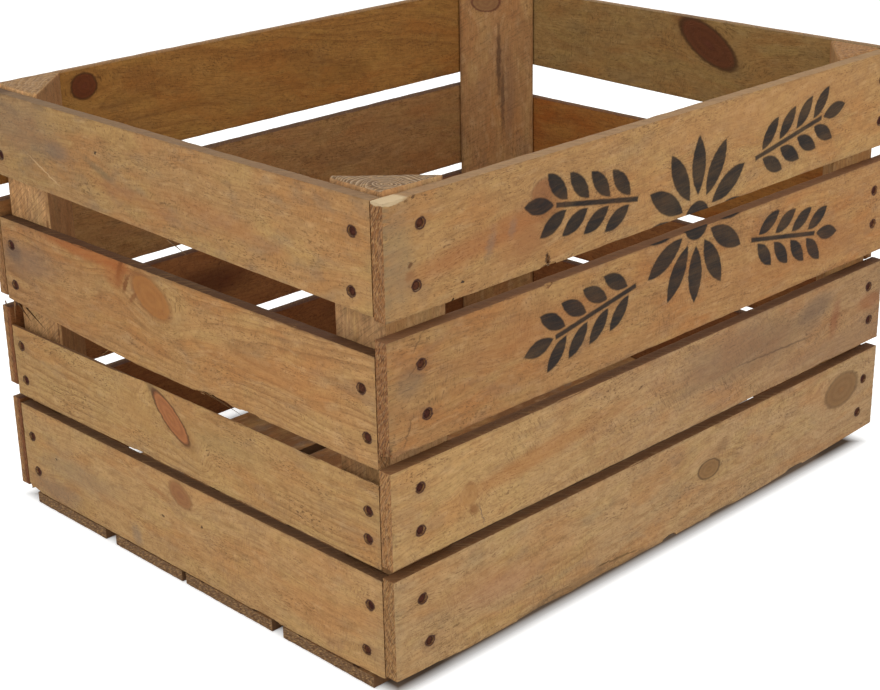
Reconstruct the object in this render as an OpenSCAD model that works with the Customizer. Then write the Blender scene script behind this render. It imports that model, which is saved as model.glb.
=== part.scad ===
// Wooden slatted crate: four corner posts, four slats on each side, four boards
// underneath, nailed together, with a stencilled mark on one long side.
// The crate stands on z = 0, centred on the origin, with its long side along x.
// The marked side faces -y.

/* [Crate] */
// Length of the crate, over the ends of the long slats
crate_l = 500; // [400:5:640]
// Width of the crate, over the faces of the long slats
crate_w = 400; // [320:5:480]
// Height of the crate, to the top edge of the slats
crate_h = 305; // [260:5:380]

/* [Long sides] */
// Thickness of the long slats
long_t = 10; // [8:0.5:14]
// Heights of the four front slats from the top down, scaled together to fill the side
front_slats = [68.5, 70, 62, 69.5]; // [45:0.5:90]
// Gaps between the front slats, from the top down
front_gaps = [10.5, 8.5, 6.5]; // [3:0.5:16]
// Heights of the four back slats from the top down, scaled together to fill the side
back_slats = [68.5, 69, 59.5, 69]; // [45:0.5:90]
// Gaps between the back slats, from the top down
back_gaps = [10.5, 8.5, 10.5]; // [3:0.5:16]
// Height of the lowest long slat above the bottom boards
long_lift = 1.5; // [0:0.5:6]

/* [Ends] */
// Thickness of the end slats
end_t = 9; // [7:0.5:13]
// Heights of the four end slats from the top down, scaled together to fill the end
end_slats = [66.5, 69, 55, 68]; // [45:0.5:90]
// Gaps between the end slats from the top down; the first is the hand hold
end_gaps = [22.5, 8.5, 6.5]; // [3:0.5:34]

/* [Corner posts] */
// Mean length of the two square faces of a post, which is a triangle in section
post_leg = 44; // [34:1:56]
// How much wider each post is along the crate: front left, front right, back right, back left
post_extra_x = [3.5, 5, -3, 5]; // [-6:0.5:8]
// How much wider each post is across the crate, in the same order
post_extra_y = [-1, -4, 5, 2.5]; // [-6:0.5:8]
// Width of the blunted points of the triangle
post_tip = 3; // [1:0.5:6]
// How far the posts stand above the slats: front left, front right, back right, back left
post_rise = [3, 0.5, 1, 2.5]; // [0:0.5:6]

/* [Bottom] */
// Thickness of the bottom boards
board_t = 8.5; // [7:0.5:13]
// Widths of the four bottom boards from front to back, scaled together to fill the bottom
bottom_boards = [84.5, 89.5, 76, 85.5]; // [60:0.5:110]
// Gaps between the bottom boards, from front to back
board_gaps = [10, 3.5, 11]; // [2:0.5:20]
// Distance from each long face of the crate to the nearest bottom board
board_inset = 20; // [12:0.5:32]

/* [Nails] */
// Diameter of a nail's shank
nail_d = 2.2; // [1.6:0.1:3]
// Diameter of a nail's head
nail_head_d = 5; // [4:0.1:7]
// Thickness of a nail's head
nail_head_t = 1; // [0.6:0.1:1.6]
// Length of a nail, over its head and point
nail_len = 25; // [20:0.5:28]
// Length of a nail's point
nail_point = 3; // [1.5:0.5:5]
// Depth of a nail's head below the face of the wood
nail_sink = 0.8; // [0.2:0.1:2]
// Room around a nail's shank in its hole
shank_play = 0.05; // [0.02:0.01:0.15]
// Room around a nail's head in the crushed wood
head_play = 0.4; // [0.1:0.05:0.8]

/* [Stencilled mark] */
// Distance of the mark's centre from the middle of the crate
mark_x = 22; // [-40:1:40]
// Diameter of the flower
flower_d = 112; // [80:1:130]
// Number of petals
petals = 12; // [8:1:16]
// Width of a petal
petal_w = 14; // [8:0.5:18]
// Diameter of the flower's middle
flower_middle_d = 26; // [16:1:36]
// Width of the bridges that hold a stencil together
bridge = 4; // [2:0.5:6]
// Length of each of the four sprigs
sprig_l = 104; // [70:1:120]
// Slope of the sprigs in degrees
sprig_slope = 10; // [0:1:16]
// Width of a sprig's stem
stem_w = 3.4; // [1.5:0.1:5]
// Pairs of leaves on a sprig
leaf_pairs = 4; // [3:1:6]
// Length of a leaf
leaf_l = 26; // [14:0.5:30]
// Width of a leaf
leaf_w = 10.5; // [5:0.5:13]
// Thickness of the ink
ink_t = 0.2; // [0.1:0.05:0.4]

/* [Uneven edges] */
// Rise of the top left end slat's lower edge, all the way to the back
left_top_rise = 8.5; // [0:0.5:12]
// Rise of the second left end slat's lower edge, over its back part
left_second_rise = 9; // [0:0.5:12]
// Drop of the third left end slat's top edge, over its back part
left_third_drop = 2; // [0:0.5:6]
// Drop of the third left end slat's bark edge, from its outer to its inner top corner
left_third_bark = 7.5; // [0:0.5:12]
// Rise of the lowest left end slat's lower edge, at its front corner
left_low_rise = 2.5; // [0:0.5:8]
// Rise of the top right end slat's lower edge, towards the back
right_top_rise = 6; // [0:0.5:12]
// Rise of the lowest front slat's lower edge, at its left end
front_left_rise = 3; // [0:0.5:8]
// Rise of the lowest front slat's lower edge, at its right end
front_right_rise = 5.5; // [0:0.5:10]
// Rise of the lowest back slat's lower edge, at its end over the right side
back_low_rise = 2; // [0:0.5:8]

/* [Hidden] */
SIDES = ["front", "right", "back", "left"];
CORNERS = ["front_left", "front_right", "back_right", "back_left"];

outer_pine = "burlywood";
post_pine = "tan";
board_pine = "peru";
nail_rust = "saddlebrown";
ink_black = "#2b2523";

overlap = 1;

// Tapered lower edges, one row for each slat of a side from the top down: share of
// the length and rise at the left end, then at the right end, seen from outside
straight = [0, 0, 0, 0];
front_edges = [straight, straight, straight, [0.12, front_left_rise, 0.3, front_right_rise]];
right_edges = [[0, 0, 0.9, right_top_rise], straight, straight, straight];
back_edges = [straight, straight, straight, [0.2, back_low_rise, 0, 0]];
left_edges = [[0.98, left_top_rise, 0, 0], [0.4, left_second_rise, 0, 0],
              straight, [0, 0, 0.12, left_low_rise]];
low_edges = [front_edges, right_edges, back_edges, left_edges];
// The one lowered top edge: shares of the length where it is level and where it is back up
dropped_span = [0.32, 0.43];

// Hand-driven nails, two in each slat from the top down: the share of the post's
// leg from its corner, and the share of the slat's height down from its top edge.
// Corners a are the front left one and the one across from it, corners b the others.
long_nails_a = [[0.43, 0.25], [0.34, 0.76], [0.39, 0.28], [0.48, 0.73],
                [0.32, 0.26], [0.31, 0.70], [0.31, 0.28], [0.43, 0.72]];
long_nails_b = [[0.25, 0.28], [0.23, 0.72], [0.24, 0.31], [0.22, 0.67],
                [0.20, 0.28], [0.12, 0.71], [0.15, 0.33], [0.26, 0.70]];
end_nails_a = [[0.34, 0.27], [0.39, 0.78], [0.27, 0.32], [0.19, 0.74],
               [0.22, 0.36], [0.24, 0.69], [0.25, 0.28], [0.35, 0.76]];
end_nails_b = [[0.23, 0.24], [0.26, 0.66], [0.27, 0.27], [0.26, 0.69],
               [0.24, 0.29], [0.26, 0.76], [0.26, 0.28], [0.33, 0.74]];
// Shares of a bottom board's width at which its nails stand
board_nails = [0.2, 0.8];
// Room left between two nails that cross inside a post
nail_room = 1.2;

function sum(list, n) = n <= 0 ? 0 : list[n - 1] + sum(list, n - 1);
function is_long(side) = side % 2 == 0;
function slat_t(side) = is_long(side) ? long_t : end_t;
function slat_l(side) = is_long(side) ? crate_l : crate_w - 2 * long_t;
function half_span(side) = (is_long(side) ? crate_l : crate_w) / 2;
function face_at(side) = (is_long(side) ? crate_w : crate_l) / 2;
function side_foot(side) = board_t + (is_long(side) ? long_lift : 0);

// Height of slat i of a side, and the height of its top edge above the ground
function side_slats(side) = side == 0 ? front_slats : side == 2 ? back_slats : end_slats;
function side_gaps(side) = side == 0 ? front_gaps : side == 2 ? back_gaps : end_gaps;
function slat_h(side, i) =
    (crate_h - side_foot(side) - sum(side_gaps(side), 3)) * side_slats(side)[i] / sum(side_slats(side), 4);
function slat_top(side, i) =
    i == 0 ? crate_h : slat_top(side, i - 1) - slat_h(side, i - 1) - side_gaps(side)[i - 1];
function is_dropped(side, i) = side == 3 && i == 2;

// Width of bottom board i, and the y of its front edge
boards_span = crate_w - 2 * board_inset - sum(board_gaps, 3);
function board_w(i) = boards_span * bottom_boards[i] / sum(bottom_boards, 4);
function board_y(i) =
    i == 0 ? -crate_w / 2 + board_inset : board_y(i - 1) + board_w(i - 1) + board_gaps[i - 1];

// Nail j of slat i: its height, and its place along the side from the middle
function nail_list(side, end) =
    is_long(side) ? (end < 0 ? long_nails_a : long_nails_b)
                  : (end > 0 ? end_nails_a : end_nails_b);
function nail_height(side, i, share) = slat_top(side, i) - share * slat_h(side, i);
function nail_x(side, end, share) =
    end * (half_span(side) - slat_t(side + 1) - share * post_leg);

// An end nail is driven lower where a long slat's nail already crosses its path
function crossed(rows, z) = [for (r = rows) if (abs(r - z) < nail_d + nail_room) r];
function clear_of(rows, z) = len(crossed(rows, z)) == 0 ? z : crossed(rows, z)[0] - nail_d - nail_room;
function long_side(side, end) = (side == 1) == (end > 0) ? 2 : 0;
function long_rows(side, list) = [for (i = [0:3], j = [0:1]) nail_height(side, i, list[2 * i + j][1])];
function nail_z(side, end, i, share) =
    is_long(side) ? nail_height(side, i, share)
                  : clear_of(long_rows(long_side(side, end), end > 0 ? long_nails_a : long_nails_b),
                             nail_height(side, i, share));

// The [x, z] places of the nails at one end of a slat
function nail_spots(side, end, i) =
    [for (j = [0:1])
        let (spot = nail_list(side, end)[2 * i + j])
        [nail_x(side, end, spot[0]), nail_z(side, end, i, spot[1])]];

// Puts what is drawn facing -y, with its outer face at y = 0, on a side of the crate
module on_side(side) {
    rotate([0, 0, 90 * side])
        translate([0, -face_at(side), 0])
            children();
}

// Draws a flat outline upright, with its outer face at y = 0 and its back at y = t
module upright(t) {
    translate([0, t, 0])
        rotate([90, 0, 0])
            linear_extrude(height = t)
                children();
}

// Outline of a slat, x along it and y its height above the ground
module slat_outline(side, i) {
    half = slat_l(side) / 2;
    top = slat_top(side, i);
    low = top - slat_h(side, i);
    edge = low_edges[side][i];
    left_low = edge[1] > 0 ? [[-half, low + edge[1]], [-half + edge[0] * 2 * half, low]] : [[-half, low]];
    right_low = edge[3] > 0 ? [[half - edge[2] * 2 * half, low], [half, low + edge[3]]] : [[half, low]];
    left_high = is_dropped(side, i) && left_third_drop > 0
        ? [[-half + dropped_span[1] * 2 * half, top],
           [-half + dropped_span[0] * 2 * half, top - left_third_drop],
           [-half, top - left_third_drop]]
        : [[-half, top]];
    polygon(concat(left_low, right_low, [[half, top]], left_high));
}

// What a bark edge lacks of a slat: a wedge along its top that deepens to its inner face
module bark_wedge(side, i, drop) {
    half = slat_l(side) / 2 + overlap;
    t = slat_t(side);
    top = slat_top(side, i);
    slope = drop / t;
    on_side(side)
        translate([-half, 0, 0])
            rotate([90, 0, 90])
                linear_extrude(height = 2 * half)
                    polygon([
                        [-overlap, top + overlap * slope],
                        [t + overlap, top - drop - overlap * slope],
                        [t + overlap, top + 2 * overlap + drop],
                        [-overlap, top + 2 * overlap + drop]
                    ]);
}

// One nail along +y with its head's outer face at y = 0
module nail() {
    rotate([-90, 0, 0])
        rotate_extrude($fn = 32)
            polygon([
                [0, 0],
                [nail_head_d / 2, 0],
                [nail_head_d / 2, nail_head_t],
                [nail_d / 2, nail_head_t],
                [nail_d / 2, nail_len - nail_point],
                [0, nail_len]
            ]);
}

// The hole of one nail, entered from the face of the wood at y = 0
module nail_hole() {
    rotate([-90, 0, 0])
        translate([0, 0, nail_sink])
            cylinder(h = nail_len + overlap, d = nail_d + 2 * shank_play, $fn = 32);
    translate([0, -overlap, 0])
        rotate([-90, 0, 0])
            cylinder(h = overlap + nail_sink + nail_head_t, d = nail_head_d + 2 * head_play, $fn = 32);
}

// All the nails, or nail holes, of one side
module at_side_nails(side, slats = [0:3], ends = [-1, 1]) {
    for (i = slats, end = ends)
        for (spot = nail_spots(side, end, i))
            on_side(side)
                translate([spot[0], 0, spot[1]])
                    children();
}

// The nails under the bottom boards, driven up into the lowest end slats
module at_bottom_nails(boards = [0:3], ends = [-1, 1]) {
    for (i = boards, end = ends, share = board_nails)
        translate([end * (crate_l - end_t) / 2, board_y(i) + share * board_w(i), 0])
            rotate([90, 0, 0])
                children();
}

module slat(side, i) {
    color(outer_pine)
        difference() {
            on_side(side)
                upright(slat_t(side))
                    slat_outline(side, i);
            at_side_nails(side, slats = [i])
                nail_hole();
            if (is_dropped(side, i) && left_third_bark > 0)
                bark_wedge(side, i, left_third_bark);
            if (!is_long(side) && i == 3)
                at_bottom_nails(ends = [side == 1 ? 1 : -1])
                    nail_hole();
        }
}

// Corner c: 0 front left, 1 front right, 2 back right, 3 back left
module post(c) {
    mirror_x = c == 0 || c == 3 ? 0 : 1;
    mirror_y = c < 2 ? 0 : 1;
    leg_x = post_leg + post_extra_x[c];
    leg_y = post_leg + post_extra_y[c];
    color(post_pine)
        difference() {
            mirror([mirror_x, 0, 0])
                mirror([0, mirror_y, 0])
                    translate([-crate_l / 2 + end_t, -crate_w / 2 + long_t, board_t])
                        linear_extrude(height = crate_h + post_rise[c] - board_t)
                            polygon([
                                [0, 0],
                                [leg_x, 0],
                                [leg_x, post_tip],
                                [post_tip, leg_y],
                                [0, leg_y]
                            ]);
            at_side_nails(c < 2 ? 0 : 2, ends = [c % 2 == 0 ? -1 : 1])
                nail_hole();
            at_side_nails(mirror_x == 1 ? 1 : 3, ends = [c % 2 == 0 ? 1 : -1])
                nail_hole();
        }
}

module bottom_board(i) {
    color(board_pine)
        difference() {
            translate([-crate_l / 2, board_y(i), 0])
                cube([crate_l, board_w(i), board_t]);
            at_bottom_nails(boards = [i])
                nail_hole();
        }
}

module side_nails(side) {
    color(nail_rust)
        at_side_nails(side)
            translate([0, nail_sink, 0])
                nail();
}

module bottom_nails() {
    color(nail_rust)
        at_bottom_nails()
            translate([0, nail_sink, 0])
                nail();
}

// A pointed leaf along +x from the origin, bounded by two arcs
module leaf(length, width) {
    r = (length * length + width * width) / (4 * width);
    intersection() {
        translate([length / 2, r - width / 2])
            circle(r = r, $fn = 96);
        translate([length / 2, width / 2 - r])
            circle(r = r, $fn = 96);
    }
}

// A stem along +x with pairs of leaves and one leaf at its tip
module sprig() {
    leaf_angle = 38;
    step = (sprig_l - leaf_l) / leaf_pairs;
    translate([0, -stem_w / 2])
        square([sprig_l - leaf_l - bridge / 2, stem_w]);
    for (k = [1:leaf_pairs], turn = [-1, 1])
        translate([(k - 0.6) * step, turn * (stem_w / 2 + bridge / 3)])
            rotate(turn * leaf_angle)
                leaf(leaf_l, leaf_w);
    translate([sprig_l - leaf_l, 0])
        leaf(leaf_l, leaf_w);
}

// A round flower with two sprigs on each side of it
module mark_outline() {
    petal_start = flower_middle_d / 2 + bridge;
    petal_l = flower_d / 2 - petal_start;
    circle(d = flower_middle_d, $fn = 64);
    for (k = [0:petals - 1])
        rotate(360 * k / petals)
            translate([petal_start, 0])
                leaf(petal_l, petal_w);
    for (across = [0, 1], down = [0, 1])
        mirror([across, 0])
            mirror([0, down])
                translate([flower_d / 2 + bridge, flower_d / 4])
                    rotate(sprig_slope)
                        sprig();
}

// The part of the mark that is printed on front slat i
module stencil(i) {
    mark_z = slat_top(0, 1) + front_gaps[0] / 2;
    color(ink_black)
        on_side(0)
            translate([0, -ink_t, 0])
                upright(ink_t)
                    intersection() {
                        slat_outline(0, i);
                        translate([mark_x, mark_z])
                            mark_outline();
                    }
}

for (c = [0:3])
    post(c);
for (s = [0:3], i = [0:3])
    slat(s, i);
for (i = [0:3])
    bottom_board(i);
for (s = [0:3])
    side_nails(s);
bottom_nails();  // nails_bottom
stencil(0);  // stencil_upper
stencil(1);  // stencil_lower
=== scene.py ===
import math
import random

import bpy
import numpy as np
from mathutils import Matrix, Vector


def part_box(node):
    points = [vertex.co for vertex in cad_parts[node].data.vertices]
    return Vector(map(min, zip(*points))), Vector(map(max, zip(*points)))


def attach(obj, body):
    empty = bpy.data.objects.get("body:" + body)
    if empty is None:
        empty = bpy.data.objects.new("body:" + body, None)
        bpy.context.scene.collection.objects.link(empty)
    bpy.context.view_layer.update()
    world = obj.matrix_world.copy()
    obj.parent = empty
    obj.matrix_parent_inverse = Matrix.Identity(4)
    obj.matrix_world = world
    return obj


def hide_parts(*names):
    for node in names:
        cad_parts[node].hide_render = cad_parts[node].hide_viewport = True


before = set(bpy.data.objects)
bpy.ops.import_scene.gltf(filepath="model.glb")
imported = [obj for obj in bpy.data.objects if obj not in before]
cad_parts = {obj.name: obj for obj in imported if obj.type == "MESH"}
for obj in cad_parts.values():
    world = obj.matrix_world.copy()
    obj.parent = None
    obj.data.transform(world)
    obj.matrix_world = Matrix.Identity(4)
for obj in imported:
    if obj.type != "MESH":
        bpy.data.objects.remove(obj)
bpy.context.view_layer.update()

MM = 0.001
# A board's own three ways, as places in its list of axes
ALONG, ACROSS, THROUGH = 0, 1, 2

# Sizes in mm
nail_head_r = 2.5
nail_head_t = 1.0
nail_shank_l = 21
nail_point_l = 2.8
crater_r = 2.75
crater_mouth_r = 3.3
crater_l = 2.5
crater_depth = 0.4
board_dents = 0.4
board_arris_wear = 0.5
post_dents = 0.6
post_fuzz = 0.12
post_tip = 3
post_voxel = 1.7
bump_depth = 0.3
floor_size = 8000
# How finely a board's faces are ruled, along and across: seen closely in the photo, or less
fine_step = (2.0, 1.7)
coarse_step = (2.8, 2.3)


# ---- Modelling helpers: selecting as a hand would, by place and direction ----

def deselect_all():
    if bpy.context.object and bpy.context.object.mode != "OBJECT":
        bpy.ops.object.mode_set(mode="OBJECT")
    bpy.ops.object.select_all(action="DESELECT")


def work_on(piece):
    deselect_all()
    piece.select_set(True)
    bpy.context.view_layer.objects.active = piece


def corners_of(piece):
    """The piece's corners as rows of x, y, z."""
    spots = np.empty(len(piece.data.vertices) * 3, np.float32)
    piece.data.vertices.foreach_get("co", spots)
    return spots.reshape(-1, 3)


def move_corners(piece, spots):
    piece.data.vertices.foreach_set("co", np.asarray(spots, np.float32).ravel())
    piece.data.update()


def edge_runs(piece):
    """Each edge's way from end to end, and its length."""
    ends = np.empty(len(piece.data.edges) * 2, np.int32)
    piece.data.edges.foreach_get("vertices", ends)
    run = np.diff(corners_of(piece)[ends.reshape(-1, 2)], axis=1)[:, 0]
    return run, np.linalg.norm(run, axis=1)


def select_edges(piece, chosen):
    """Selects these edges alone, and leaves the piece in edit mode."""
    work_on(piece)
    bpy.ops.object.mode_set(mode="EDIT")
    bpy.ops.mesh.select_mode(type="EDGE")
    bpy.ops.mesh.select_all(action="DESELECT")
    bpy.ops.object.mode_set(mode="OBJECT")
    piece.data.edges.foreach_set("select", chosen)
    bpy.ops.object.mode_set(mode="EDIT")


def rule_across(piece, axis, step):
    """Cuts the long edges along one axis into steps, so that the faces get an even grid."""
    shortest = 1.4 * MM
    most_cuts = 100
    longest = np.abs(edge_runs(piece)[0][:, axis]).max()
    pieces = max(2, round(float(longest) / step))
    first = math.ceil(pieces / most_cuts)
    rounds = [pieces] if first == 1 else [first, round(pieces / first)]
    for parts in rounds:
        run, length = edge_runs(piece)
        select_edges(piece, (np.abs(run[:, axis]) > 0.99 * length) & (length > shortest))
        bpy.ops.mesh.subdivide(number_cuts=parts - 1)
        bpy.ops.object.mode_set(mode="OBJECT")


def apply_modifier(piece, kind, **settings):
    work_on(piece)
    modifier = piece.modifiers.new(kind.title(), kind)
    for key, value in settings.items():
        setattr(modifier, key, value)
    bpy.ops.object.modifier_apply(modifier=modifier.name)


def join_all(pieces):
    deselect_all()
    for piece in pieces:
        piece.select_set(True)
    bpy.context.view_layer.objects.active = pieces[0]
    if len(pieces) > 1:
        bpy.ops.object.join()
    return bpy.context.object


def copy_of(model, matrix):
    """A copy with its own mesh, put in place in that mesh."""
    twin = model.copy()
    twin.data = model.data.copy()
    bpy.context.scene.collection.objects.link(twin)
    twin.data.transform(matrix)
    return twin


def remove(piece):
    bpy.data.objects.remove(piece, do_unlink=True)


def finish_in(piece, material):
    """The whole piece in one material, whatever a cutter left on it."""
    piece.data.materials.clear()
    piece.data.materials.append(material)
    piece.data.polygons.foreach_set("material_index", [0] * len(piece.data.polygons))


def seed_of(name):
    return sum((k + 1) * ord(letter) for k, letter in enumerate(name)) % 9973


# ---- Wear: shallow waves left by the saw and the years, always cut into the wood ----

def wear_surface(piece, stretch, depth, seed, group=""):
    """Sinks the surface by up to depth in soft dents of the size stretch (x, y, z)."""
    dents = bpy.data.textures.new("dents", "CLOUDS")
    dents.noise_scale = 1.0
    dents.noise_depth = 2
    lie = bpy.data.objects.new("dents_lie", None)
    bpy.context.scene.collection.objects.link(lie)
    lie.location = (seed * 0.173, seed * 0.311, seed * 0.097)
    lie.scale = stretch
    bpy.context.view_layer.update()
    apply_modifier(piece, "DISPLACE", texture=dents, texture_coords="OBJECT",
                   texture_coords_object=lie, strength=depth, mid_level=1.0, vertex_group=group)
    remove(lie)
    bpy.data.textures.remove(dents)


# ---- Cutters: a splinter gouge and a nail crater, each modelled once ----

bpy.ops.mesh.primitive_uv_sphere_add(segments=10, ring_count=6, radius=1)
splinter_gouge = bpy.context.object
splinter_gouge.name = "splinter_gouge"

bpy.ops.mesh.primitive_cone_add(vertices=14, radius1=crater_r * MM, radius2=crater_mouth_r * MM,
                                depth=crater_l * MM)
nail_crater = bpy.context.object
nail_crater.name = "nail_crater"


bpy.ops.mesh.primitive_cone_add(vertices=5, radius1=1, radius2=0.12, depth=1, location=(0, 0, 0.5))
splinter_sliver = bpy.context.object
splinter_sliver.name = "splinter_sliver"
bpy.ops.object.transform_apply(location=True, rotation=True, scale=True)


def jitter(piece, share, rng):
    """Makes a cutter uneven: each corner goes in or out from the middle by a share."""
    spots = corners_of(piece)
    middle = spots.mean(0)
    pulls = np.array([[1 + rng.uniform(-share, share)] for _ in spots])
    move_corners(piece, middle + (spots - middle) * pulls)


def gouge_at(spot, size, tilt, axes, rng):
    """A gouge with its middle at spot and radii size (along, across, through) in millimetres."""
    shape = np.diag([*(np.array(size) * MM), 1])
    turn = np.eye(4)
    c, s = math.cos(tilt), math.sin(tilt)
    turn[:2, :2] = [[c, -s], [s, c]]
    order = np.zeros((4, 4))
    order[3, 3] = 1
    for k, axis in enumerate(axes):
        order[axis, k] = 1
    cutter = copy_of(splinter_gouge, Matrix.Identity(4))
    jitter(cutter, 0.14, rng)
    cutter.data.transform(Matrix((order @ turn @ shape).tolist()))
    place = np.zeros(3)
    place[list(axes)] = np.array(spot) * MM
    cutter.data.transform(Matrix.Translation(Vector(place)))
    work_on(cutter)
    bpy.ops.object.mode_set(mode="EDIT")
    bpy.ops.mesh.select_all(action="SELECT")
    bpy.ops.mesh.normals_make_consistent(inside=False)
    bpy.ops.object.mode_set(mode="OBJECT")
    return cutter


def cut_away(piece, cutters):
    if not cutters:
        return
    cutter = join_all(cutters)
    apply_modifier(piece, "BOOLEAN", operation="DIFFERENCE", object=cutter, solver="MANIFOLD")
    remove(cutter)


def raise_splinters(board, slivers):
    """Torn fibres that stand off a board's edge: foot, tip and half width, in millimetres."""
    if not slivers:
        return
    torn = []
    for foot, tip, width in slivers:
        run = (Vector(tip) - Vector(foot)) * MM
        turn = Vector((0, 0, 1)).rotation_difference(run).to_matrix().to_4x4()
        shape = Matrix.Diagonal((width * MM, 0.6 * width * MM, run.length, 1))
        torn.append(copy_of(splinter_sliver, Matrix.Translation(Vector(foot) * MM) @ turn @ shape))
    join_all([board, *torn])


# ---- Nails: their places come from the CAD nails' outer ends ----

nail_sides = {"nails_front": (1, -1), "nails_right": (0, 1), "nails_back": (1, 1),
              "nails_left": (0, -1), "nails_bottom": (2, -1)}


def nail_places(node, axis, side):
    """The middle of each nail head's outer face."""
    spots = corners_of(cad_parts[node])
    outward = spots[:, axis] * side
    heaps = []
    for spot in spots[outward > outward.max() - 0.2 * MM]:
        near = [heap for heap in heaps if np.linalg.norm(heap[0] - spot) < 5.5 * MM]
        if near:
            near[0].append(spot)
        else:
            heaps.append([spot])
    return [Vector((np.min(heap, 0) + np.max(heap, 0)) / 2) for heap in heaps]


nail_spots = {node: nail_places(node, *lie) for node, lie in nail_sides.items()}


def nail_turn(axis, side):
    """Turns a nail that points along -Z into the wood of one side."""
    outward = Vector([side if k == axis else 0 for k in range(3)])
    return Vector((0, 0, 1)).rotation_difference(outward).to_matrix().to_4x4()


bpy.ops.mesh.primitive_cylinder_add(vertices=16, radius=nail_head_r * MM, depth=nail_head_t * MM,
                                    location=(0, 0, -nail_head_t / 2 * MM))
wire_nail = bpy.context.object
wire_nail.name = "wire_nail"


def select_faces(piece, test):
    work_on(piece)
    bpy.ops.object.mode_set(mode="EDIT")
    bpy.ops.mesh.select_mode(type="FACE")
    bpy.ops.mesh.select_all(action="DESELECT")
    bpy.ops.object.mode_set(mode="OBJECT")
    for face in piece.data.polygons:
        face.select = bool(test(face))
    bpy.ops.object.mode_set(mode="EDIT")


def model_nail():
    bpy.ops.object.transform_apply(location=True, rotation=True, scale=True)
    select_faces(wire_nail, lambda face: face.normal.z > 0.9)
    bpy.ops.mesh.inset(thickness=0.45 * MM, depth=0)
    bpy.ops.mesh.inset(thickness=0.9 * MM, depth=0.12 * MM)
    bpy.ops.mesh.poke()
    bpy.ops.object.mode_set(mode="OBJECT")
    select_faces(wire_nail, lambda face: face.normal.z < -0.9)
    bpy.ops.mesh.inset(thickness=1.4 * MM, depth=0)
    bpy.ops.mesh.extrude_region_move(TRANSFORM_OT_translate={"value": (0, 0, -nail_shank_l * MM)})
    bpy.ops.mesh.extrude_region_move(TRANSFORM_OT_translate={"value": (0, 0, -nail_point_l * MM)})
    bpy.ops.transform.resize(value=(0.12, 0.12, 1), center_override=(0, 0, 0))
    bpy.ops.object.mode_set(mode="OBJECT")
    # The rim isn't sharp: the top ring is pulled down and in
    spots = corners_of(wire_nail)
    rim = (spots[:, 2] > -0.01 * MM) & (np.hypot(spots[:, 0], spots[:, 1]) > 2.3 * MM)
    spots[rim] = spots[rim] * [0.94, 0.94, 1] - [0, 0, 0.25 * MM]
    inner = spots[:, 2] > 0.05 * MM
    spots[inner, 2] = -0.05 * MM
    move_corners(wire_nail, spots)
    work_on(wire_nail)
    bpy.ops.object.shade_smooth_by_angle(angle=math.radians(40))


model_nail()


def drive_nails(node):
    """One side's nails: hammered heads, each a little uneven, with their shanks in the wood."""
    rng = random.Random(seed_of(node))
    axis, side = nail_sides[node]
    nails = []
    for place in nail_spots[node]:
        nail = copy_of(wire_nail, Matrix.Rotation(rng.uniform(0, 6.28), 4, "Z"))
        spots = corners_of(nail)
        top = spots[:, 2] > -(nail_head_t + 0.05) * MM
        dent = np.array([[rng.uniform(-0.16, 0.04), rng.uniform(-0.16, 0.04),
                          rng.uniform(-0.22, 0)] for _ in spots]) * MM
        spots[top, :2] *= (1 + dent[top, :2] / (nail_head_r * MM))
        spots[top, 2] += dent[top, 2]
        move_corners(nail, spots)
        nail.data.transform(Matrix.Translation(place) @ nail_turn(axis, side))
        nails.append(nail)
    group = join_all(nails)
    group.name = node + "_rusty"
    return group


# ---- Boards ----

# Each side: the axes along, across and through its boards, and where its outer face is, in mm
side_lie = {
    "front": ((0, 2, 1), -200, 1),
    "right": ((1, 2, 0), 250, -1),
    "back": ((0, 2, 1), 200, -1),
    "left": ((1, 2, 0), -250, 1),
    "bottom": ((0, 1, 2), 0, 1),
}

# Boards whose lower edge isn't straight: heights in mm at places along the board
low_edges = {
    "front_slat_4": [(-250, 3), (-190, 0), (100, 0), (250, 5.5)],
    "right_slat_1": [(-152, 0), (190, 6)],
    "back_slat_4": [(150, 0), (250, 2)],
    "left_slat_1": [(-182, 0), (190, 8.5)],
    "left_slat_2": [(38, 0), (190, 9)],
    "left_slat_4": [(-190, 2.5), (-144, 0)],
}

# Boards whose top edge isn't level: drops in mm at places along the board, and the drop from the
# outer to the inner face where bark was
high_edges = {"left_slat_3": ([(26.6, 0), (68.4, 2), (190, 2)], 7.5)}


def side_of(node):
    return node.split("_")[0]


def lean_low_edge(piece, node, axes):
    """Raises the board's lower edge where it was sawn on a slant."""
    if node not in low_edges:
        return
    spots = corners_of(piece)
    along, up = spots[:, axes[ALONG]], spots[:, axes[ACROSS]]
    places, rises = np.array(low_edges[node]).T * MM
    share = (up.max() - up) / (up.max() - up.min())
    spots[:, axes[ACROSS]] = up + share * np.interp(along, places, rises)
    move_corners(piece, spots)


def lean_top_edge(piece, node, axes):
    """Lowers the board's top edge where the bark left it short."""
    if node not in high_edges:
        return
    spots = corners_of(piece)
    along, up, through = (spots[:, k] for k in axes)
    face_at, inward = side_lie[side_of(node)][1:]
    places, drops = np.array(high_edges[node][0]).T * MM
    top, low = up.max(), up.min()
    depth = (through - face_at * MM) * inward
    limit = np.minimum(top - np.interp(along, places, drops),
                       top - high_edges[node][1] * MM * depth / depth.max())
    spots[:, axes[ACROSS]] = low + (up - low) * (limit - low) / (top - low)
    move_corners(piece, spots)


def board_nails(node):
    """The nails whose heads lie in this board."""
    side = side_of(node)
    low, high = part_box(node)
    axes = side_lie[side][0]
    inside = lambda p: all(low[k] < p[k] < high[k] for k in axes[:2])
    return [place for place in nail_spots["nails_" + side] if inside(place)]


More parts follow.
